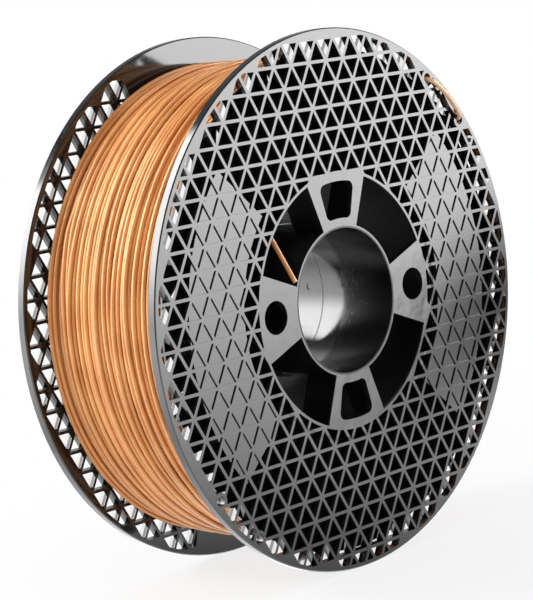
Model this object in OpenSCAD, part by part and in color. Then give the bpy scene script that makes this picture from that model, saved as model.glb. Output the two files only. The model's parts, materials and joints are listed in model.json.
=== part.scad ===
// Filament spool: two grille-faced half spools that snap together, with the wound filament on the drum.
// The spool's axis is Y and the front flange faces -Y. The origin is on the axis, midway along the bore.

/* [Flanges] */
// Outside diameter of both flanges
flange_d = 200; // [190:1:230]
// Overall width over both flanges
spool_w = 69; // [55:0.5:100]
// Thickness of each flange
flange_t = 3.4; // [2.6:0.1:4.6]
// Chamfer on the outer edges of each flange
edge_chamfer = 0.4; // [0.2:0.1:0.8]

/* [Bore tube] */
// Diameter of the bore through the spool
bore_d = 53.5; // [46:0.5:56]
// Wall of the bore tube
tube_wall = 1.3; // [1:0.1:1.8]
// Wall of the collar that holds the two tube halves in line
collar_wall = 1.4; // [1:0.1:2]
// How far the collar reaches past the joint
collar_reach = 12; // [10:0.5:18]
// How far the collar starts before the joint
collar_root = 5; // [3:0.5:8]
// Diameter of the snap studs inside the collar
stud_d = 2.4; // [1.8:0.1:3]
// Distance of the snap studs from the joint
stud_from_joint = 7; // [4:0.5:8]
// Distance of a stud's tip from the bore's surface
stud_recess = 0.3; // [0.1:0.1:0.5]

/* [Drum] */
// Inside diameter of the drum that carries the winding
drum_inner_d = 93.6; // [90:0.2:98]
// Wall of the drum
drum_wall = 2.2; // [1.8:0.1:3]
// Length of the lap where one drum half enters the other
drum_lap = 4; // [2:0.5:8]

/* [Hub spokes] */
// Thickness of the spokes
spoke_t = 2.4; // [1.8:0.1:2.6]
// Width of a spoke at the bore tube
spoke_w_in = 18.4; // [16:0.2:22]
// Width of a spoke at the drum
spoke_w_out = 31.8; // [28:0.2:36]
// Diameter of the drive holes in the two side spokes
drive_hole_d = 12.2; // [8:0.1:13]
// Distance of the drive holes from the spool's axis
drive_hole_at = 39.1; // [38:0.1:40]
// Distance from the axis to the inner edge of a spoke window
window_from = 30.4; // [30:0.1:34]
// Distance from the axis to the outer edge of a spoke window
window_to = 44.1; // [40:0.1:45]
// Width of a spoke window at its inner edge
window_w_in = 13; // [9:0.2:14]
// Width of a spoke window at its outer edge
window_w_out = 20; // [14:0.2:22]
// Corner radius of a spoke window
window_corner = 2.6; // [1:0.1:3]
// Thickness of the two walls behind each windowed spoke
side_wall_t = 1.4; // [1:0.1:2]
// How far those walls reach behind the flange's outer face
side_wall_depth = 14; // [8:0.5:16]

/* [Grille] */
// Side of one triangle of the grille, from rib middle to rib middle
cell_side = 9.55; // [8:0.05:14]
// Width of a grille rib
rib_w = 1.2; // [0.9:0.05:2]
// Sideways offset of the grille's pattern from the axis
grille_shift = 0.45; // [0:0.05:2]
// Plain ring left around the hub openings
hub_ring_w = 1; // [0.8:0.1:2]
// Plain rim left outside the grille
rim_w = 1.8; // [1.4:0.1:4]
// Cells whose clear part is shallower than this are left solid
least_cell = 2.5; // [1.5:0.1:4]
// Thickness of the skins that close the cells beside the winding
skin_t = 0.8; // [0.6:0.1:1.2]
// Diameter of the skin that closes the front flange's cells beside the winding
front_skin_d = 186; // [150:1:186]
// Diameter of the skin that closes the rear flange's cells beside the winding
rear_skin_d = 176; // [150:1:186]
// Depth of the plain panels behind the grille's face
panel_depth = 0.5; // [0.3:0.1:1.6]
// Distance from the axis to the inner edge of a front panel
panel_from = 55; // [52:1:70]
// Distance from the axis to the outer edge of a front panel
panel_to = 83; // [75:1:90]
// Angle that each front panel spans
front_panel_span = 84; // [40:2:100]
// Angle that the rear flange's upper panel spans
rear_upper_span = 48; // [20:2:70]
// Angle that the rear flange's lower panel spans
rear_lower_span = 30; // [20:2:70]

/* [Eyelets] */
// Diameter of the eyelets that hold the filament's end
eyelet_d = 3.8; // [3:0.1:4.4]
// Wall around each eyelet
eyelet_wall = 1.3; // [0.8:0.1:1.6]
// Distance of an eyelet's middle from the flange's edge
eyelet_inset = 3.8; // [3.8:0.1:8]
// Angle of the middle of the front flange's first pair of eyelets
eyelet_at = 45; // [30:1:60]
// Angle between the two eyelets of a pair
eyelet_spread = 15; // [12:0.5:20]

/* [Filament] */
// Diameter of the filament
filament_d = 1.75; // [1.6:0.05:2]
// Outside diameter of the winding
winding_d = 177; // [140:1:184]
// How far the grooves between the turns sink below the winding's crests
groove_depth = 0.5; // [0.2:0.05:0.8]
// How far behind the front face the filament's inner end comes through the drum
inner_end_depth = 9; // [7:0.5:14]
// Angle at which the filament's inner end comes through the drum
inner_end_at = 133; // [128:1:142]
// Angle at which the inner end's tip lies beside the bore tube
inner_tip_at = 158; // [150:1:165]

/* [Fits] */
// Play between the tube half and its collar, between the drum's laps, and around the studs
joint_play = 0.1; // [0.05:0.05:0.2]
// Play between the winding's sides and the skins beside it
winding_play = 0.2; // [0.1:0.05:0.4]
// Play around the filament's inner end in the drum's hole
inner_end_play = 0.3; // [0.1:0.05:0.6]
// Play between the inner end's tip and the bore tube
inner_tip_play = 0.4; // [0.2:0.1:1]

/* [Hidden] */

ROUND = 180;
THROUGH = 1;       // how far a cutter runs past the face that it leaves by
MERGE = 0.2;       // how far two solids of one moulding run into each other
RUN_ON = 0.2;      // how far an outline's slanted sides run on past its trimming circles, in their lengths
SUNK = 0.6;        // how far the filament's inner end runs into the winding that it belongs to
CORD_SIDES = 8;
GROOVE_STEPS = 4;  // points on the winding's outline for each turn

PLASTIC = "#1b1b1c";
COPPER = "#d18a4c";

half_w = spool_w / 2;
flange_r = flange_d / 2;
bore_r = bore_d / 2;
tube_r = bore_r + tube_wall;
collar_ri = tube_r + joint_play;
collar_ro = collar_ri + collar_wall;
drum_ri = drum_inner_d / 2;
drum_ro = drum_ri + drum_wall;
winding_r = winding_d / 2;
front_skin_r = front_skin_d / 2;
rear_skin_r = rear_skin_d / 2;
eyelet_at_r = flange_r - eyelet_inset;
eyelet_ro = eyelet_d / 2 + eyelet_wall;

// The grille is rows of triangles between the hub's ring and the rim
grille_ri = drum_ri + hub_ring_w;
grille_ro = flange_r - rim_w;
row_h = cell_side * sqrt(3) / 2;
hole_r = cell_side / sqrt(3) - rib_w;
rows = ceil(grille_ro / row_h);
columns = ceil(grille_ro / cell_side) + 1;

FRONT_PANELS = [[0, front_panel_span, panel_to], [180, front_panel_span, panel_to]];
REAR_PANELS = [[90, rear_upper_span, grille_ro], [270, rear_lower_span, grille_ro]];

// The filament's outer end, out of the winding, through one eyelet and back in through the next.
// It is drawn as a half spool is, with the front flange's outer face on z = 0.
OUTER_END = [
    [-6, 87.9, -10], [6, 88.6, -9.5], [17, 87.8, -9.1], [26, 85.7, -8.7], [38, 82.6, -8.1],
    [50, 79.3, -6.9], [55.6, 77.8, -5.5], [57.9, 76.9, -3.4], [58.6, 76.3, -1.7], [59.2, 75.8, 0],
    [60.4, 74.8, 1.3], [63.2, 72.6, 1.9], [68.2, 68.2, 2], [72.6, 63.2, 1.9], [74.8, 60.4, 1.3],
    [75.8, 59.2, 0], [76.3, 58.6, -1.7], [76.9, 57.9, -3.4], [78.4, 55.8, -5.5], [80, 53.5, -7.5]
];
OUTWARDS = [1, 1, 0];  // the way out of the spool at the eyelets, which the outer end never follows

function polar(r, a) = [r * cos(a), r * sin(a)];
function at_depth(p, depth) = [p.x, p.y, -depth];
function between(p, q, s) = p + (q - p) * s;
function unit(v) = v / norm(v);

// One triangle of the grille: its middle, and the angle of its first corner
function triangle(column, row, up) = [
    grille_shift + (column + (row % 2 == 0 ? 0 : 0.5) + (up ? 0 : 0.5)) * cell_side,
    (row + (up ? 0 : 1 / 3)) * row_h,
    up ? 90 : -90
];
function corner_distances(t) = [for (k = [0 : 2]) norm([t.x, t.y] + polar(hole_r, t.z + 120 * k))];

TRIANGLES = [
    for (row = [-rows : rows], column = [-columns : columns], up = [true, false])
        let (t = triangle(column, row, up), d = corner_distances(t))
            if (max(d) > grille_ri + hub_ring_w && min(d) < grille_ro - least_cell) t
];

module ring(ri, ro) {
    difference() {
        circle(r = ro, $fn = ROUND);
        circle(r = ri, $fn = ROUND);
    }
}

// A flat wedge of a ring, with its middle at an angle
module ring_wedge(ri, ro, at, span) {
    intersection() {
        ring(ri, ro);
        polygon([[0, 0], for (k = [-1 : 1]) polar(2 * ro, at + k * span / 2)]);
    }
}

// The grille's triangles where they lie between two radii
module cells(ri, ro) {
    intersection() {
        for (t = TRIANGLES)
            if (max(corner_distances(t)) > ri && min(corner_distances(t)) < ro)
                translate([t.x, t.y]) rotate(t.z) circle(r = hole_r, $fn = 3);
        ring(ri, ro);
    }
}

module panels(list) {
    for (p = list) ring_wedge(panel_from, p[2], p[0], p[1]);
}

module at_eyelets() {
    for (pair = [0, 180], side = [-1, 1])
        translate(polar(eyelet_at_r, eyelet_at + pair + side * eyelet_spread / 2)) children();
}

module eyelet_lands() {
    at_eyelets() circle(r = eyelet_ro, $fn = 48);
}

// Everything below is drawn with a half spool's outer face on z = 0 and its inside towards -z.

// The flange with its skin and the drum half behind it, whose wall steps at the joint
module flange_and_drum(skin_r, step_r, inner_end) {
    c = edge_chamfer;
    back = -flange_t;
    rotate_extrude($fn = ROUND) polygon([
        [drum_ri, 0], [flange_r - c, 0], [flange_r, -c], [flange_r, back + c], [flange_r - c, back],
        [skin_r, back], [skin_r, back - skin_t], [drum_ro, back - skin_t], [drum_ro, -half_w],
        [step_r, -half_w], [step_r, inner_end], [drum_ri, inner_end]
    ]);
}

// The flat outline of the spoke along +X
module spoke() {
    inner = [sqrt(pow(tube_r, 2) - pow(spoke_w_in / 2, 2)), spoke_w_in / 2];
    outer = [sqrt(pow(drum_ri, 2) - pow(spoke_w_out / 2, 2)), spoke_w_out / 2];
    a = between(inner, outer, -RUN_ON);
    b = between(inner, outer, 1 + RUN_ON);
    polygon([a, b, [b.x, -b.y], [a.x, -a.y]]);
}

// A window between two arcs about the axis, with slanted sides and round corners
module window() {
    inner = [window_from, window_w_in / 2];
    outer = [window_to, window_w_out / 2];
    low = between(inner, outer, -RUN_ON);
    offset(r = window_corner, $fn = 40) offset(delta = -window_corner) intersection() {
        ring(window_from, window_to);
        polygon([low, outer, [outer.x, -outer.y], [low.x, -low.y]]);
    }
}

module spokes() {
    translate([0, 0, -spoke_t]) linear_extrude(spoke_t) difference() {
        intersection() {
            ring(tube_r - MERGE, drum_ri + MERGE);
            for (a = [0 : 90 : 270]) rotate(a) spoke();
        }
        for (a = [0, 180]) rotate(a) translate([drive_hole_at, 0]) circle(d = drive_hole_d, $fn = 96);
        for (a = [90, 270]) rotate(a) window();
    }
}

// Two walls behind each windowed spoke, along its sides, from the tube to the drum
module side_walls() {
    translate([0, 0, -side_wall_depth]) linear_extrude(side_wall_depth - spoke_t + MERGE) intersection() {
        ring(tube_r - MERGE, drum_ri + MERGE);
        for (a = [90, 270], side = [0, 1]) rotate(a) mirror([0, side]) difference() {
            spoke();
            translate([0, -side_wall_t]) spoke();
        }
    }
}

// Cuts the cells of a grille, except where the children's flat outlines keep it solid
module grille_cutters(panel_list, skin_r) {
    translate([0, 0, -flange_t]) linear_extrude(flange_t + THROUGH)
        difference() { cells(grille_ri, skin_r); panels(panel_list); children(); }
    translate([0, 0, -flange_t - THROUGH]) linear_extrude(flange_t + 2 * THROUGH)
        difference() { cells(skin_r, grille_ro); panels(panel_list); children(); }
    translate([0, 0, -panel_depth]) linear_extrude(panel_depth + THROUGH)
        intersection() { cells(grille_ri, grille_ro); panels(panel_list); }
}

module eyelet_cutters() {
    at_eyelets() translate([0, 0, -flange_t - THROUGH])
        cylinder(d = eyelet_d, h = flange_t + 2 * THROUGH, $fn = 48);
}

// The four snap studs, or the holes that they snap into, pointing at the axis
module studs(d, from, to, z) {
    for (a = [0 : 90 : 270]) rotate(a) translate([from, 0, z]) rotate([0, 90, 0])
        cylinder(d = d, h = to - from, $fn = 40);
}

// A straight round bar between two points
module bar(p, q, d) {
    v = q - p;
    translate(p) rotate([0, acos(v.z / norm(v)), atan2(v.y, v.x)]) cylinder(d = d, h = norm(v), $fn = 32);
}

// The filament's inner end: its tip beside the bore tube, and its root in the winding
inner_tip = at_depth(polar(tube_r + inner_tip_play + filament_d / 2, inner_tip_at), 0);
inner_root = at_depth(polar(drum_ro + SUNK, inner_end_at), inner_end_depth);

module inner_end_hole() {
    run = unit(inner_root - inner_tip) * (drum_wall + THROUGH);
    bar(inner_root - 2 * run, inner_root + run, filament_d + 2 * inner_end_play);
}

// Where each half stands: the front one's outer face looks along -Y, the rear one is its mirror image
module at_front() { translate([0, -half_w, 0]) rotate([90, 0, 0]) children(); }
module at_rear() { mirror([0, 1, 0]) at_front() children(); }

module front_half_spool() {
    color(PLASTIC) at_front() difference() {
        union() {
            flange_and_drum(front_skin_r, drum_ri + (drum_wall - joint_play) / 2, -half_w - drum_lap);
            rotate_extrude($fn = ROUND) polygon([
                [bore_r, 0], [tube_r, 0], [tube_r, -half_w + collar_root],
                [collar_ro, -half_w + collar_root], [collar_ro, -half_w - collar_reach],
                [collar_ri, -half_w - collar_reach], [collar_ri, -half_w], [bore_r, -half_w]
            ]);
            spokes();
            side_walls();
            studs(stud_d, bore_r + stud_recess, collar_ri + MERGE, -half_w - stud_from_joint);
        }
        grille_cutters(FRONT_PANELS, front_skin_r) eyelet_lands();
        eyelet_cutters();
        inner_end_hole();
    }
}

module rear_half_spool() {
    color(PLASTIC) at_rear() difference() {
        union() {
            flange_and_drum(
                rear_skin_r, drum_ri + (drum_wall + joint_play) / 2, -half_w + drum_lap + joint_play
            );
            rotate_extrude($fn = ROUND)
                polygon([[bore_r, 0], [tube_r, 0], [tube_r, -half_w], [bore_r, -half_w]]);
            spokes();
            side_walls();
        }
        grille_cutters(REAR_PANELS, rear_skin_r);
        studs(stud_d + 2 * joint_play, bore_r - THROUGH, tube_r + THROUGH, -half_w + stud_from_joint);
    }
}

// The wound coil, with a shallow groove between each two turns
module filament_winding() {
    winding_w = spool_w - 2 * (flange_t + skin_t + winding_play);
    turns = floor(winding_w / filament_d);
    last = turns * GROOVE_STEPS;
    color(COPPER) rotate([90, 0, 0]) rotate_extrude($fn = ROUND) polygon([
        [drum_ro, -winding_w / 2],
        for (k = [0 : last])
            let (depth = groove_depth * (1 - abs(sin(180 * k / GROOVE_STEPS))))
                [winding_r - depth, winding_w * (k / last - 1 / 2)],
        [drum_ro, winding_w / 2]
    ]);
}

module filament_inner_end() {
    color(COPPER) at_front() bar(inner_tip, inner_root, filament_d);
}

// A tube swept along a list of points, with a ring of corners at each
module cord(path, d, side) {
    n = len(path);
    corners = [
        for (i = [0 : n - 1])
            let (t = unit(path[min(i + 1, n - 1)] - path[max(i - 1, 0)]))
            let (u = unit(cross(t, side)), v = cross(t, u))
                for (k = [0 : CORD_SIDES - 1])
                    let (a = 360 * k / CORD_SIDES) path[i] + d / 2 * (cos(a) * u + sin(a) * v)
    ];
    walls = [
        for (i = [0 : n - 2], k = [0 : CORD_SIDES - 1])
            let (a = i * CORD_SIDES + k, b = i * CORD_SIDES + (k + 1) % CORD_SIDES)
                each [[a, a + CORD_SIDES, b], [b, a + CORD_SIDES, b + CORD_SIDES]]
    ];
    first = [for (k = [0 : CORD_SIDES - 1]) k];
    final = [for (k = [CORD_SIDES - 1 : -1 : 0]) (n - 1) * CORD_SIDES + k];
    polyhedron(corners, concat([first], walls, [final]));
}

module filament_outer_end() {
    color(COPPER) at_front() cord(OUTER_END, filament_d, OUTWARDS);
}

front_half_spool();
rear_half_spool();
filament_winding();
filament_inner_end();
filament_outer_end();
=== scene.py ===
import json
import math

import bmesh
import bpy
from bpy.props import FloatProperty, FloatVectorProperty, IntProperty, PointerProperty
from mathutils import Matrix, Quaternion, Vector, noise


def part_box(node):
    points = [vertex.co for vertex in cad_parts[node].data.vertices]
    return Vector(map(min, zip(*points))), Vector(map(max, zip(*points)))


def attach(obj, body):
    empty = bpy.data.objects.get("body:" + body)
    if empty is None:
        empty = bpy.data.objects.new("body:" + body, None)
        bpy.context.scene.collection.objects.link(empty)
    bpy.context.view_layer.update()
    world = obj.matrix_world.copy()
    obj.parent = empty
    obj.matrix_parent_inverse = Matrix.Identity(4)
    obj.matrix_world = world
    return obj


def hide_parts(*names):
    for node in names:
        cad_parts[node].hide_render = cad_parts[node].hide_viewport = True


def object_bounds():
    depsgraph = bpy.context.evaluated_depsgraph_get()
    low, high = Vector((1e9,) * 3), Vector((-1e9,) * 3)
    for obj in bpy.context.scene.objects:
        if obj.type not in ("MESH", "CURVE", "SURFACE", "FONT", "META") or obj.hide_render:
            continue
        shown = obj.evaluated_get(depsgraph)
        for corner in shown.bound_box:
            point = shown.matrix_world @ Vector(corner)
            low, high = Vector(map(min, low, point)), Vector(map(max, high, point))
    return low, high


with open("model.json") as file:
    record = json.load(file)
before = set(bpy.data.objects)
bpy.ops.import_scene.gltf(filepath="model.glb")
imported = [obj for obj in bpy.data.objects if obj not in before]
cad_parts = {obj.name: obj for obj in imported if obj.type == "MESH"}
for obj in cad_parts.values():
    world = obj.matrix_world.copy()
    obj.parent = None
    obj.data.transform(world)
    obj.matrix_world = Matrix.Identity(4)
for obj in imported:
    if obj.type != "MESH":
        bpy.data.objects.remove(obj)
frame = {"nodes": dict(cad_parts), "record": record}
CAD_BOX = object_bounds()

bl_info = {
    "name": "Filament Spool",
    "version": (1, 0, 0),
    "blender": (4, 5, 0),
    "location": "View3D > Sidebar > Spool",
    "description": "Dresses a spool of filament: glossy half spools, wound strands and a small studio",
    "category": "Add Mesh",
}

MM = 0.001
TAU = 2 * math.pi
BODY = "root"
HALVES = ("front_half_spool", "rear_half_spool")
WINDING = "filament_winding"
INNER_END = "filament_inner_end"
OUTER_END = "filament_outer_end"

# The spool's own sizes: the radius of bore, flanges and winding, and how far out the outer faces are
BORE_R = next(mount["dims"]["r_mm"] * MM for mount in frame["record"]["mounts"] if mount["name"] == "bore")
FLANGE_R = CAD_BOX[1].x
WINDING_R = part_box(WINDING)[1].x
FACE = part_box("rear_half_spool")[1].y

# Where the plastic's finish changes. Each is the start and end of a ramp: first by distance from the axis,
BORE_EDGE = (BORE_R + 0.45 * MM, BORE_R + 0.85 * MM)
TUBE_EDGE = (BORE_R + 1.25 * MM, BORE_R + 1.65 * MM)
HUB_EDGE = (50.0 * MM, 50.5 * MM)
SPOKE_EDGE = (50.0 * MM, 52.0 * MM)
RIM_EDGE = (FLANGE_R - 0.8 * MM, FLANGE_R - 0.4 * MM)
# then by distance from the middle plane, on either side,
SEAM_EDGE = (0.1 * MM, 0.3 * MM)
CELLS_START = (FACE - 3.3 * MM, FACE - 3.1 * MM)
CELLS_END = (FACE - 2.0 * MM, FACE - 1.6 * MM)
SUNK_EDGE = (FACE - 1.2 * MM, FACE - 0.9 * MM)
FACE_EDGE = (FACE - 0.2 * MM, FACE - 0.1 * MM)
# and last by place along the bore, where minus is towards the front
WORN_AND_SHADED_EDGE = (-13.0 * MM, -9.6 * MM)
SCORED_EDGE = (-26.0 * MM, -10.0 * MM)

# Where the filament's colour changes: painted shade deep in the grooves, less of it past the winding's
# sides, painted shade towards the rear flange, and paler past the face
GROOVE_SHADE_EDGE = (WINDING_R - 2.1 * MM, WINDING_R - 0.4 * MM)
SIDE_EDGE = (FACE - 4.5 * MM, FACE)
REAR_SHADE_EDGE = (12.0 * MM, 32.0 * MM)
LOOP_EDGE = (-FACE - 0.5 * MM, -FACE)

# The outer end's route, the same points as the solid's, in millimetres
OUTER_ROUTE = (
    (-6, -24.5, 87.9), (6, -25, 88.6), (17, -25.4, 87.8), (26, -25.8, 85.7), (38, -26.4, 82.6),
    (50, -27.6, 79.3), (55.6, -29, 77.8), (57.9, -31.1, 76.9), (58.6, -32.8, 76.3), (59.2, -34.5, 75.8),
    (60.4, -35.8, 74.8), (63.2, -36.4, 72.6), (68.2, -36.5, 68.2), (72.6, -36.4, 63.2), (74.8, -35.8, 60.4),
    (75.8, -34.5, 59.2), (76.3, -32.8, 58.6), (76.9, -31.1, 57.9), (78.4, -29, 55.8), (80, -27, 53.5),
)

# The camera's aim and the key lamp's place and width
AIM = Vector((-2.7, 2.9, -0.3)) * MM
KEY_PLACE = Vector((-0.60, 0.60, 0.48))
KEY_WIDTH = 0.35

# The way across both reflection cards, their middles, and their corners across and up from there.
# One card stands where the front flange looks, the other behind the rims.
ACROSS = Vector((0.677, 0.736, 0))
FRONT_CARD = Vector((0.4519, -0.4157, 0))
FRONT_CORNERS = ((-0.40, -0.32), (0.40, -0.32), (0.40, 0.45), (-0.40, 0.45))
BACK_CARD = Vector((-0.5528, 0.5069, 0))
BACK_CORNERS = ((0.30, -0.75), (-0.45, -0.75), (-0.45, 1.25), (0.73, 1.25), (0.29, 0.6), (0.29, -0.04))

# The floor's radius and the colour of what glows
FLOOR_R = 6
WHITE = (1, 1, 1)


# ---------------------------------------------------------------- settings


class SpoolSettings(bpy.types.PropertyGroup):
    """Finish of the two half spools"""

    colour: FloatVectorProperty(
        name="Plastic", description="Colour of the half spools", default=(0.0085, 0.0080, 0.0078),
        size=3, subtype="COLOR", min=0, max=1)
    gloss: FloatProperty(
        name="Roughness", description="Roughness of the polished faces", default=0.07, subtype="FACTOR")


class FilamentSettings(bpy.types.PropertyGroup):
    """Size, winding and finish of the filament"""

    diameter: FloatProperty(
        name="Diameter", description="Diameter of the strand", default=1.75 * MM, unit="LENGTH")
    layers: IntProperty(
        name="Layers", description="Outer layers that are wound strand by strand", default=3)
    slack: FloatProperty(
        name="Slack", description="Pitch of the turns, in diameters of the strand", default=1.06, min=1)
    samples: IntProperty(
        name="Samples", description="Points on each turn of the strand", default=120)
    wander: FloatProperty(
        name="Wander", description="How far a turn strays from its place", default=0.95 * MM, unit="LENGTH")
    seed: IntProperty(
        name="Seed", description="Picks one way for the turns to stray", default=7)
    colour: FloatVectorProperty(
        name="Copper", description="Colour of the filament", default=(0.80, 0.39, 0.13),
        size=3, subtype="COLOR", min=0, max=1)
    gloss: FloatProperty(
        name="Roughness", description="Roughness of the strand", default=0.33, subtype="FACTOR")


class StageSettings(bpy.types.PropertyGroup):
    """Camera and light"""

    azimuth: FloatProperty(
        name="Azimuth", description="Way round the spool to the camera",
        default=math.radians(-47.35), subtype="ANGLE")
    elevation: FloatProperty(
        name="Elevation", description="Height of the camera", default=math.radians(7.72), subtype="ANGLE")
    roll: FloatProperty(
        name="Roll", description="Lean of the camera's upright to the right",
        default=math.radians(5.40), subtype="ANGLE")
    distance: FloatProperty(
        name="Distance", description="Camera to aim point", default=0.9016, unit="LENGTH")
    lens: FloatProperty(
        name="Lens", description="Focal length on a 36 mm sensor, in millimetres", default=143.18)
    front_card: FloatProperty(
        name="Front card", description="Brightness of the card that the front flange mirrors",
        default=9.5, min=0)
    back_card: FloatProperty(
        name="Back card", description="Brightness of the card that the rims and bore mirror",
        default=13.0, min=0)
    key: FloatProperty(
        name="Key lamp", description="Power of the soft lamp beside the winding",
        default=7.5, unit="POWER", min=0)
    fill: FloatProperty(
        name="Fill", description="Brightness of the room on plain surfaces", default=0.60, min=0)


def spool():
    return bpy.context.scene.spool_settings


def filament():
    return bpy.context.scene.filament_settings


def stage():
    return bpy.context.scene.stage_settings


# ---------------------------------------------------------------- shaders


class Socket:
    """A shader socket in a Python expression: +, -, * and / add Math nodes"""

    def __init__(self, tree, socket):
        self.tree = tree
        self.socket = socket

    def maths(self, operation, *others):
        return self.tree.node(
            "ShaderNodeMath", {"operation": operation}, dict(enumerate((self, *others))))

    def __add__(self, other):
        return self.maths("ADD", other)

    __radd__ = __add__

    def __sub__(self, other):
        return self.maths("SUBTRACT", other)

    def __rsub__(self, other):
        return self.maths("MULTIPLY_ADD", -1, other)

    def __mul__(self, other):
        return self.maths("MULTIPLY", other)

    __rmul__ = __mul__

    def __truediv__(self, other):
        return self.maths("DIVIDE", other)

    def power(self, exponent):
        return self.maths("POWER", exponent)

    def at_least(self, other):
        return self.maths("MAXIMUM", other)

    def between(self, low, high):
        """0 below low, 1 above high, with a soft ramp"""
        return self.tree.node(
            "ShaderNodeMapRange",
            {"interpolation_type": "SMOOTHSTEP"},
            {"Value": self, "From Min": low, "From Max": high})


class Shader:
    """A material's or a world's node tree, cleared and ready to build"""

    def __init__(self, owner):
        owner.use_nodes = True
        self.tree = owner.node_tree
        self.tree.nodes.clear()

    def node(self, kind, settings=None, inputs=None, output=0):
        """Adds a node with its settings and the values or links of its sockets, and gives one output"""
        made = self.tree.nodes.new(kind)
        for key, value in (settings or {}).items():
            setattr(made, key, value)
        for key, value in (inputs or {}).items():
            self.feed(made.inputs[key], value)
        return Socket(self, made.outputs[output]) if made.outputs else None

    def feed(self, socket, value):
        if isinstance(value, Socket):
            self.tree.links.new(value.socket, socket)
        elif isinstance(value, tuple) and len(value) == 3 and len(socket.default_value) == 4:
            socket.default_value = (*value, 1)
        else:
            socket.default_value = value

    def place(self, kind="Object"):
        return self.node("ShaderNodeTexCoord", output=kind)

    def ray(self, kind):
        return self.node("ShaderNodeLightPath", output=f"Is {kind} Ray")

    def parts(self, vector):
        made = self.node("ShaderNodeSeparateXYZ", inputs={"Vector": vector}).socket.node
        return [Socket(self, out) for out in made.outputs]

    def scaled(self, vector, scale):
        return self.node("ShaderNodeMapping", inputs={"Vector": vector, "Scale": scale})

    def noise(self, vector, scale, detail=2.0):
        return self.node("ShaderNodeTexNoise", inputs={"Vector": vector, "Scale": scale, "Detail": detail})

    def mixed(self, factor, a, b):
        """One colour over another, on the Mix node's colour sockets"""
        return self.node("ShaderNodeMix", {"data_type": "RGBA"}, {0: factor, 6: a, 7: b}, output=2)

    def bump(self, height, distance, strength=1.0, normal=None):
        inputs = {"Height": height, "Distance": distance, "Strength": strength}
        if normal:
            inputs["Normal"] = normal
        return self.node("ShaderNodeBump", inputs=inputs)

    def glow(self, strength):
        return self.node("ShaderNodeEmission", inputs={"Color": WHITE, "Strength": strength})

    def end(self, shader, kind="Material"):
        """Ends the tree in its output"""
        self.node(f"ShaderNodeOutput{kind}", inputs={"Surface": shader})

    def surface(self, **inputs):
        """Ends the tree in a Principled shader; names are its sockets' with _ for spaces"""
        named = {key.replace("_", " "): value for key, value in inputs.items()}
        self.end(self.node("ShaderNodeBsdfPrincipled", inputs=named))


def tinted(colour, tint):
    """A colour with each of its parts made brighter or darker"""
    return tuple(min(1, c * k) for c, k in zip(colour, tint))


def gloss_black_plastic():
    """Polished black moulding: flow waves and rubs, duller inside, a bore with score marks and a seam, and
    painted shade on the hub's sunken walls, the cell walls and the front of the bore
    """
    material = bpy.data.materials.new("gloss_black_plastic")
    s = Shader(material)
    where = s.place()
    x, y, z = s.parts(where)
    radius = (x * x + z * z).power(0.5)
    depth = y.maths("ABSOLUTE")

    past_hub = radius.between(*HUB_EDGE)
    hub = radius.between(*TUBE_EDGE) * (1 - depth.between(*SUNK_EDGE)) * (1 - past_hub)
    cells = past_hub * (1 - radius.between(*RIM_EDGE))
    cells = cells * depth.between(*CELLS_START) * (1 - depth.between(*CELLS_END))
    spokes = (1 - radius.between(*SPOKE_EDGE)) * depth.between(*FACE_EDGE)
    bore = 1 - radius.between(*BORE_EDGE)
    seam = bore * (1 - depth.between(*SEAM_EDGE))
    worn_and_shaded = bore * (1 - y.between(*WORN_AND_SHADED_EDGE))

    # Score marks run round the bore, so their noise is stretched along the turn about the axis
    round_bore = s.node("ShaderNodeCombineXYZ", inputs={"X": 7 * z.maths("ARCTAN2", x), "Y": 1100 * y})
    scores = worn_and_shaded * y.between(*SCORED_EDGE) * s.noise(round_bore, 1.0).between(0.52, 0.78)
    haze = s.noise(where, 60, 3.0)
    rubs = s.noise(s.scaled(where, (400, 90, 400)), 3.0).between(0.62, 0.80)

    normal = s.bump(s.noise(where, 22, 1.0), 0.25 * MM, 0.35)
    normal = s.bump(s.noise(where, 900, 1.5), 0.008 * MM, 0.5, normal)
    normal = s.bump(scores - 3 * seam, 0.02 * MM, 1.0, normal)
    normal = s.bump(spokes * s.noise(where, 95), 0.3 * MM, 0.5, normal)

    dark = tuple(spool().colour)
    base = s.mixed(haze.between(0.3, 0.75), dark, tinted(dark, (1.9, 1.9, 1.9)))
    dull = 0.04 * haze.between(0.35, 0.8) + 0.10 * rubs + 0.40 * hub + 0.14 * worn_and_shaded + 0.12 * scores
    s.surface(
        Base_Color=s.mixed(0.6 * scores, base, (0.05, 0.05, 0.05)),
        Roughness=spool().gloss + dull,
        IOR=1.59,
        # Painted shade: metallic on the near-black colour takes the reflections out of the hub's sunken
        # walls, the cell walls and the worn front of the bore
        Metallic=0.9 * hub + 0.8 * cells + 0.75 * worn_and_shaded,
        Normal=normal)
    return material


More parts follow.
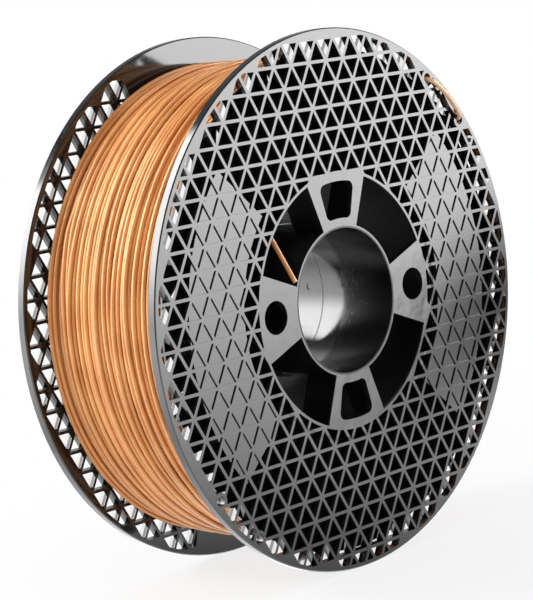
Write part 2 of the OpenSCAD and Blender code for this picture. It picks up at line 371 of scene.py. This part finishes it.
def copper_filament():
    """Satin filament: blotches and grain, painted shade as deeper copper in the grooves, towards the rear
    flange and on the inner end in the hub, pale in front
    """
    material = bpy.data.materials.new("copper_filament")
    s = Shader(material)
    where = s.place()
    x, y, z = s.parts(where)
    radius = (x * x + z * z).power(0.5)
    blotch = s.noise(where, 55)
    grain = s.noise(where, 2600)

    base = tuple(filament().colour)
    colour = s.mixed(blotch.between(0.3, 0.7), tinted(base, (0.80, 0.66, 0.50)), base)
    colour = s.mixed(0.35 * grain.between(0.45, 0.75), colour, tinted(base, (1.12, 1.18, 1.35)))
    # Painted shade: deeper copper where the surface sinks into the grooves between strands, eased near the
    # flanges
    groove_shade = (1 - radius.between(*GROOVE_SHADE_EDGE)) * (1 - 0.6 * y.maths("ABSOLUTE").between(*SIDE_EDGE))
    # Painted shade: deeper copper towards the rear flange, which shades the strands, and on the inner end
    # inside the hub's radius
    shaded = y.between(*REAR_SHADE_EDGE).at_least(1 - radius.between(*SPOKE_EDGE))
    painted_shade = (0.8 * groove_shade).at_least(0.7 * shaded)
    colour = s.mixed(painted_shade, colour, tinted(base, (0.72, 0.52, 0.32)))
    colour = s.mixed(0.6 * (1 - y.between(*LOOP_EDGE)), colour, (0.80, 0.55, 0.32))
    s.surface(
        Base_Color=colour,
        Roughness=filament().gloss + 0.10 * blotch - 0.08 * grain,
        IOR=1.52,
        Normal=s.bump(grain, 0.02 * MM, 0.35))
    return material


# ---------------------------------------------------------------- making pieces


def finished(piece, material):
    """Gives a piece its one finish"""
    piece.data.materials.clear()
    piece.data.materials.append(material)


def dressed(piece, material, slot, *stands_for):
    """Finishes a new piece, lets it ride on the spool and hides the solids it stands for"""
    finished(piece, material)
    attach(piece, BODY)
    if stands_for:
        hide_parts(*stands_for)


def placed(name, data):
    """Puts a mesh, a curve, a camera or a lamp into the scene as a new object"""
    made = bpy.data.objects.new(name, data)
    bpy.context.scene.collection.objects.link(made)
    return made


def piece_from(name, bm):
    """Turns a finished bmesh into a piece"""
    mesh = bpy.data.meshes.new(name)
    bm.to_mesh(mesh)
    bm.free()
    return placed(name, mesh)


def strand(name, points, diameter, sides=8):
    """A round strand along a path, capped at both ends"""
    curve = bpy.data.curves.new(name, "CURVE")
    curve.dimensions = "3D"
    curve.bevel_depth = diameter / 2
    curve.bevel_resolution = sides // 2 - 2
    curve.use_fill_caps = True
    line = curve.splines.new("POLY")
    line.points.add(len(points) - 1)
    for point, place in zip(line.points, points):
        point.co = (*place, 1)
    source = placed(name + "_line", curve)
    bpy.context.view_layer.update()
    mesh = bpy.data.meshes.new_from_object(source.evaluated_get(bpy.context.evaluated_depsgraph_get()))
    bpy.data.objects.remove(source)
    bpy.data.curves.remove(curve)
    mesh.name = name
    mesh.polygons.foreach_set("use_smooth", [True] * len(mesh.polygons))
    return placed(name, mesh)


def turned_ring(name, inner, outer, back, front, steps=180):
    """A square-edged ring about the spool's axis, spun from its cross-section"""
    bm = bmesh.new()
    section = ((inner, back), (outer, back), (outer, front), (inner, front))
    corners = [bm.verts.new((radius, y, 0)) for radius, y in section]
    edges = [bm.edges.new((a, b)) for a, b in zip(corners, corners[1:] + corners[:1])]
    bmesh.ops.spin(
        bm, geom=corners + edges, cent=(0, 0, 0), axis=(0, 1, 0), angle=TAU, steps=steps, use_merge=True)
    bmesh.ops.remove_doubles(bm, verts=bm.verts, dist=0.01 * MM)
    bmesh.ops.recalc_face_normals(bm, faces=bm.faces)
    return piece_from(name, bm)


def smooth_path(points, step):
    """A curve through the points, with a point at about each step"""
    line = [Vector(p) for p in points]
    ends = [2 * line[0] - line[1], *line, 2 * line[-1] - line[-2]]
    path = []
    for a, b, c, d in zip(ends, ends[1:], ends[2:], ends[3:]):
        count = max(1, round((c - b).length / step))
        for k in range(count):
            t = k / count
            path.append(0.5 * (2 * b + (c - a) * t + (2 * a - 5 * b + 4 * c - d) * t * t
                               + (3 * b - a - 3 * c + d) * t ** 3))
    return [*path, line[-1]]


class Winding:
    """The filament's outer layers, laid turn on turn as a winder does"""

    NESTING = 0.87  # height of one layer over the last, in diameters, where strands lie in the grooves
    EASING = 3      # how many points on either side a taut strand evens its height over

    def __init__(self, settings):
        self.low, self.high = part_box(WINDING)
        solid = frame["nodes"][WINDING].data.vertices
        self.inside = min(math.hypot(v.co.x, v.co.z) for v in solid)
        self.diameter = settings.diameter
        self.samples = settings.samples
        self.wander = settings.wander
        self.seed = settings.seed
        self.half = self.high.y - self.diameter / 2
        self.turns = int(2 * self.half / (self.diameter * settings.slack))
        self.pitch = 2 * self.half / self.turns
        self.layers = settings.layers
        self.core = self.high.x - self.diameter * (0.5 + self.NESTING * (self.layers - 1))

    def stray(self, layer, progress):
        """How far off its even place the strand lies: a slow drift and a quicker one, more further out"""
        loose = self.wander * (0.35 + 0.65 * layer / max(1, self.layers - 1))
        slow = noise.noise(Vector((progress * 0.9, 3.7 * layer, self.seed)))
        quick = noise.noise(Vector((progress * 2.3, 9.1 * layer + 5, self.seed)))
        return loose * (1.1 * slow + 0.9 * quick)

    def across(self, layer, progress):
        """Where the strand lies along the spool's axis after so many turns of a layer"""
        place = -self.half + self.pitch * progress + self.stray(layer, progress)
        place = max(-self.half, min(self.half, place))
        return place if layer % 2 == 0 else -place

    def wind(self):
        """The strand's path on each layer: every turn rests on what was wound before it"""
        d = self.diameter
        paths = []
        lying = [[] for _ in range(self.samples)]
        for layer in range(self.layers):
            heights, places = [], []
            for step in range(self.turns * self.samples + 1):
                column = lying[step % self.samples]
                y = self.across(layer, step / self.samples)
                height = self.core
                for other_y, other_height in column:
                    gap = abs(y - other_y)
                    if gap < d:
                        height = max(height, other_height + math.sqrt(d * d - gap * gap))
                column.append((y, height))
                places.append(y)
                heights.append(height)
            path = []
            for step, (y, height) in enumerate(zip(places, self.eased(heights))):
                angle = TAU * step / self.samples
                path.append(Vector((height * math.cos(angle), y, height * math.sin(angle))))
            paths.append(path)
        return paths

    def eased(self, heights):
        """A taut strand bridges small dips, so its height changes gently"""
        eased = []
        for step in range(len(heights)):
            near = heights[max(0, step - self.EASING):step + self.EASING + 1]
            eased.append(sum(near) / len(near))
        return eased


# ---------------------------------------------------------------- operators


class SPOOL_OT_half_spools(bpy.types.Operator):
    """Gives the two half spools their polished black finish"""

    bl_idname = "spool.half_spools"
    bl_label = "Half Spools"

    def execute(self, context):
        material = gloss_black_plastic()
        for name in HALVES:
            finished(frame["nodes"][name], material)
        return {"FINISHED"}


class SPOOL_OT_winding(bpy.types.Operator):
    """Winds the outer layers of the filament strand by strand, over a plain core"""

    bl_idname = "spool.winding"
    bl_label = "Winding"

    def execute(self, context):
        material = copper_filament()
        winding = Winding(filament())
        stands_for = [WINDING]
        for number, path in enumerate(winding.wind(), 1):
            layer = strand(f"filament_layer_{number}", path, winding.diameter)
            dressed(layer, material, "filament", *stands_for)
            stands_for = []
        core = turned_ring("filament_core", winding.inside, winding.core, winding.low.y, winding.high.y)
        dressed(core, material, "filament")
        return {"FINISHED"}


class SPOOL_OT_filament_ends(bpy.types.Operator):
    """Draws the filament's outer end through its eyelets, and finishes the inner end in the hub"""

    bl_idname = "spool.filament_ends"
    bl_label = "Filament Ends"

    def execute(self, context):
        material = bpy.data.materials["copper_filament"]
        route = [Vector(p) * MM for p in OUTER_ROUTE]
        outer = strand("parked_outer_end", smooth_path(route, 0.8 * MM), filament().diameter, 16)
        dressed(outer, material, "filament", OUTER_END)
        finished(frame["nodes"][INNER_END], material)
        return {"FINISHED"}


class SPOOL_OT_studio(bpy.types.Operator):
    """Sets up the camera, the room, the pale floor, the two reflection cards and the key lamp"""

    bl_idname = "spool.studio"
    bl_label = "Studio"

    def execute(self, context):
        self.camera()
        self.room()
        self.floor()
        self.front_card()
        self.back_card()
        self.key_lamp()
        return {"FINISHED"}

    def camera(self):
        s = stage()
        data = bpy.data.cameras.new("camera")
        data.sensor_width = 36
        data.lens = s.lens
        data.clip_start = 0.01
        data.clip_end = 20
        camera = placed("camera", data)
        back = Vector((math.sin(s.azimuth) * math.cos(s.elevation),
                       -math.cos(s.azimuth) * math.cos(s.elevation), math.sin(s.elevation)))
        camera.location = AIM + back * s.distance
        camera.rotation_mode = "QUATERNION"
        camera.rotation_quaternion = (-back).to_track_quat("-Z", "Y") @ Quaternion((0, 0, 1), -s.roll)
        bpy.context.scene.camera = camera

    def room(self):
        """White for the camera, a dim room over a pale floor for the gloss, a plain level for the rest"""
        world = bpy.context.scene.world or bpy.data.worlds.new("room")
        bpy.context.scene.world = world
        s = Shader(world)
        camera, gloss, through = (s.ray(kind) for kind in ("Camera", "Glossy", "Transmission"))
        height = s.parts(s.place("Generated"))[2]
        mirrored = 0.3 + 1.5 * (-1 * height).between(0, 0.3) + 0.4 * (1 - height.between(0.15, 0.40))
        plain = stage().fill * (0.85 + 0.75 * height.between(0, 1))
        plain = plain * (1 - camera) * (1 - gloss) * (1 - through)
        level = plain + camera + through + gloss * mirrored
        s.end(s.node("ShaderNodeBackground", inputs={"Color": WHITE, "Strength": level}), "World")

    def floor(self):
        """A matt floor that keeps the spool's shadow and turns white further off"""
        bm = bmesh.new()
        bmesh.ops.create_circle(bm, cap_ends=True, segments=96, radius=FLOOR_R)
        bmesh.ops.translate(bm, verts=bm.verts, vec=(0, 0, CAD_BOX[0].z))
        piece = piece_from("floor", bm)
        material = bpy.data.materials.new("pale_floor")
        s = Shader(material)
        x, y, _ = s.parts(s.place())
        away = (x * x + y * y).power(0.5).between(0.10, 0.45)
        white = s.ray("Camera") * (0.82 + 0.18 * away)
        matt = s.node("ShaderNodeBsdfDiffuse", inputs={"Color": (0.8, 0.8, 0.8)})
        s.end(s.node("ShaderNodeMixShader", inputs={0: white, 1: matt, 2: s.glow(1.0)}))
        piece.data.materials.append(material)
        piece.visible_glossy = False

    def front_card(self):
        """The card that the front flange mirrors: bright above, dim near the floor, with one dark corner"""
        s, across, up = self.card("front_card", FRONT_CARD, FRONT_CORNERS)
        level = 0.80 * up.between(-0.40, 0) + 0.35 * up.between(-0.15, 0.15) - 0.16
        aside = (across - 0.09) / 0.10
        above = (up + 0.089 - 0.067 * aside) / 0.07
        corner = 0.17 + 0.83 * (aside * aside + above * above).power(0.5).between(0.05, 1.25)
        s.end(s.glow(stage().front_card * level.at_least(0.05) * corner))

    def back_card(self):
        """The card that the rims and the bore mirror: brightest high up, with a slanted far edge"""
        s, across, up = self.card("back_card", BACK_CARD, BACK_CORNERS)
        level = 0.15 + 0.2 * up.between(-0.6, -0.05) + 0.65 * up.between(-0.05, 0.32)
        from_edge = 0.29 + 0.69 * (up - 0.6).at_least(0) - across
        low = (-1 * up).between(0, 0.1)
        s.end(s.glow(stage().back_card * level * from_edge.between(0, 0.09).at_least(low)))

    def card(self, name, middle, corners):
        """A card that only the gloss sees; gives its shader, the distance across it and the height on it"""
        bm = bmesh.new()
        face = bm.faces.new([bm.verts.new(middle + u * ACROSS + Vector((0, 0, v))) for u, v in corners])
        bmesh.ops.triangulate(bm, faces=[face])
        piece = piece_from(name, bm)
        for ray in ("camera", "diffuse", "shadow", "transmission"):
            setattr(piece, f"visible_{ray}", False)
        material = bpy.data.materials.new(name)
        piece.data.materials.append(material)
        s = Shader(material)
        x, y, z = s.parts(s.place())
        return s, ACROSS.x * x + ACROSS.y * y, z

    def key_lamp(self):
        """A soft square lamp beside the winding that faces the spool and stays out of the gloss"""
        data = bpy.data.lights.new("key_lamp", "AREA")
        data.size = KEY_WIDTH
        data.energy = stage().key
        lamp = placed("key_lamp", data)
        lamp.location = KEY_PLACE
        lamp.rotation_mode = "QUATERNION"
        lamp.rotation_quaternion = (-KEY_PLACE).to_track_quat("-Z", "Y")
        lamp.visible_glossy = lamp.visible_camera = False


class SPOOL_PT_panel(bpy.types.Panel):
    """Buttons and sizes for the spool"""

    bl_label = "Filament Spool"
    bl_space_type = "VIEW_3D"
    bl_region_type = "UI"
    bl_category = "Spool"

    def draw(self, context):
        for group in (spool(), filament(), stage()):
            box = self.layout.box()
            for name in group.__annotations__:
                box.prop(group, name)
        for operator in OPERATORS:
            self.layout.operator(operator.bl_idname)


OPERATORS = (SPOOL_OT_half_spools, SPOOL_OT_winding, SPOOL_OT_filament_ends, SPOOL_OT_studio)
CLASSES = (SpoolSettings, FilamentSettings, StageSettings, *OPERATORS, SPOOL_PT_panel)


def register():
    for cls in CLASSES:
        bpy.utils.register_class(cls)
    bpy.types.Scene.spool_settings = PointerProperty(type=SpoolSettings)
    bpy.types.Scene.filament_settings = PointerProperty(type=FilamentSettings)
    bpy.types.Scene.stage_settings = PointerProperty(type=StageSettings)


def unregister():
    del bpy.types.Scene.stage_settings
    del bpy.types.Scene.filament_settings
    del bpy.types.Scene.spool_settings
    for cls in reversed(CLASSES):
        bpy.utils.unregister_class(cls)


def main():
    register()
    bpy.context.scene.view_settings.view_transform = "Standard"
    bpy.ops.spool.half_spools()
    bpy.ops.spool.winding()
    bpy.ops.spool.filament_ends()
    bpy.ops.spool.studio()


if __name__ == "__main__":
    main()
